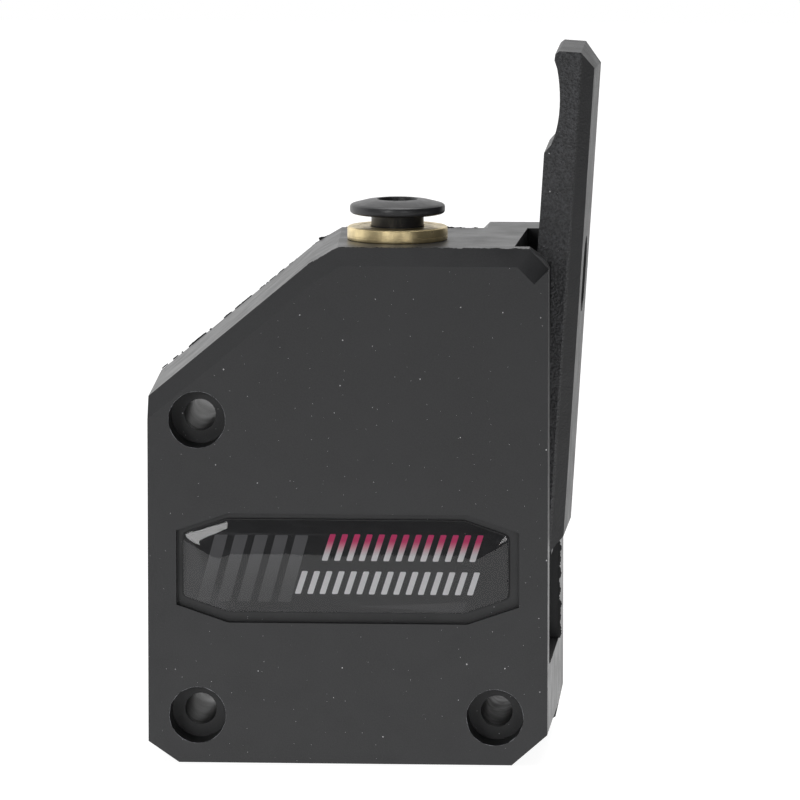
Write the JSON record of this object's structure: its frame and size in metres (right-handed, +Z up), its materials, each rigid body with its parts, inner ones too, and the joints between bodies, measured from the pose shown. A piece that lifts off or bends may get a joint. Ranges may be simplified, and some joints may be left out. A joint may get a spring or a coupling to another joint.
{
  "type": "extruder gear assembly",
  "caption": "Geared dual-drive filament extruder: beveled black housing with three screw wells, long idler lever, brass-ringed push-fit collet and a domed badge.",
  "frame": {"origin": "centre of the motor pilot recess, on the face that meets the motor", "axes": "+Z up, +Y out of the mounting face towards the motor, +X to the right seen from the badge side, where the lever is"},
  "size_m": [0.0468, 0.0275, 0.074],
  "materials": {
    "black_plastic": "moulded, fine grain, satin",
    "black_plastic_cover": "moulded, fine grain, satin",
    "black_plastic_lever": "moulded, coarse spark-eroded grain on the sides",
    "badge_foil": "printed foil",
    "badge_resin": "domed clear resin over a dark print",
    "bearing_steel": "ground",
    "polished_steel": "polished",
    "hardened_steel": "hobbed, bright",
    "black_oxide": "black oxide",
    "zinc_steel": "zinc plated",
    "spring_steel": "bright",
    "natural_acetal": "smooth, slightly waxy",
    "tube_white": "translucent white fluoropolymer",
    "brass": "turned",
    "black_acetal": "moulded, satin",
    "black_rubber": "smooth"
  },
  "bodies": {
    "frame": {"main_housing": "black_plastic", "front_cover": "black_plastic_cover", "badge_backing": "badge_foil", "badge_dome": "badge_resin", "pivot_sleeve": "bearing_steel", "front_bearing_outer_ring": "bearing_steel", "front_bearing_balls": "polished_steel", "rear_bearing_outer_ring": "bearing_steel", "rear_bearing_balls": "polished_steel", "upper_liner_tube": "tube_white", "lower_liner_tube": "tube_white", "tension_nut": "zinc_steel", "coupling_body": "brass", "coupling_seal_ring": "black_rubber"},
    "lever": {"idler_lever": "black_plastic_lever", "idler_pin": "bearing_steel"},
    "idler": {"idler_gear": "hardened_steel", "needle_bearing_cups": "bearing_steel", "needle_rollers": "polished_steel"},
    "drive": {"drive_shaft": "bearing_steel", "drive_gear": "hardened_steel", "drive_grub_screw": "black_oxide", "large_gear": "natural_acetal", "large_gear_hub": "bearing_steel", "front_shim": "bearing_steel", "rear_shim": "bearing_steel", "front_bearing_inner_ring": "bearing_steel", "rear_bearing_inner_ring": "bearing_steel"},
    "collet": {"collet": "black_acetal", "collet_claws": "spring_steel"}
  },
  "joints": [
    {"name": "drive_spin", "type": "hinge", "parent": "frame", "child": "drive", "pos_m": [0, -0.0135, 0.01675], "axis": [0, 1, 0], "continuous": true},
    {"name": "lever_hinge", "type": "hinge", "parent": "frame", "child": "lever", "pos_m": [0.0155, -0.0135, -0.0155], "axis": [0, 1, 0], "range_deg": [0, 20]},
    {"name": "idler_spin", "type": "hinge", "parent": "lever", "child": "idler", "pos_m": [0.0095, -0.0135, 0.01675], "axis": [0, 1, 0], "continuous": true},
    {"name": "collet_slide", "type": "slide", "parent": "frame", "child": "collet", "axis": [0, 0, 1], "range_m": [-0.0011, 0], "stiffness_N_per_m": 200}
  ],
  "couplings": [
    {"joint": "idler_spin", "follows": "drive_spin", "ratio": -1}
  ]
}
